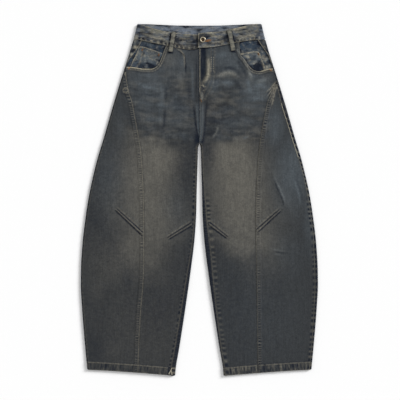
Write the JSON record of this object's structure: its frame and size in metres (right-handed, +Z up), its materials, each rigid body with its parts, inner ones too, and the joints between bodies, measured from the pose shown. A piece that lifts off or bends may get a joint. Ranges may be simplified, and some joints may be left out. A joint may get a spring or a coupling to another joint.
{
  "type": "wide-leg jeans",
  "caption": "Wide-leg denim jeans with curved front seams and knee darts, closed at the waist and laid flat with the front up.",
  "frame": {"origin": "centre of the garment's bounding box, on the surface it lies on", "axes": "+X towards the wearer's left side, +Y from the hems towards the waist, +Z up off the surface, out of the garment's front"},
  "size_m": [0.701, 1.04, 0.0134],
  "materials": {
    "front_denim": "washed dark slate denim, faded to a warm grey on the thighs",
    "outer_denim": "washed dark slate denim with worn seams",
    "back_denim": "washed dark slate denim",
    "band_denim": "double washed denim, worn pale on its edges and puckers",
    "facing_denim": "less faded indigo denim inside the pocket mouths",
    "button_metal": "antique brass, worn bright on its rim"
  },
  "bodies": {
    "root": {"front_inner_right": "front_denim", "front_inner_left": "front_denim", "front_outer_right": "outer_denim", "front_outer_left": "outer_denim", "back_panel_right": "back_denim", "back_panel_left": "back_denim", "pocket_facing_right": "facing_denim", "pocket_facing_left": "facing_denim", "coin_pocket_right": "facing_denim", "small_pocket_left": "facing_denim", "waistband_back": "band_denim", "waistband_front_right": "band_denim", "waistband_front_left": "band_denim", "belt_loop_front_right": "band_denim", "belt_loop_front_left": "band_denim", "waist_button": "button_metal"}
  },
  "joints": []
}
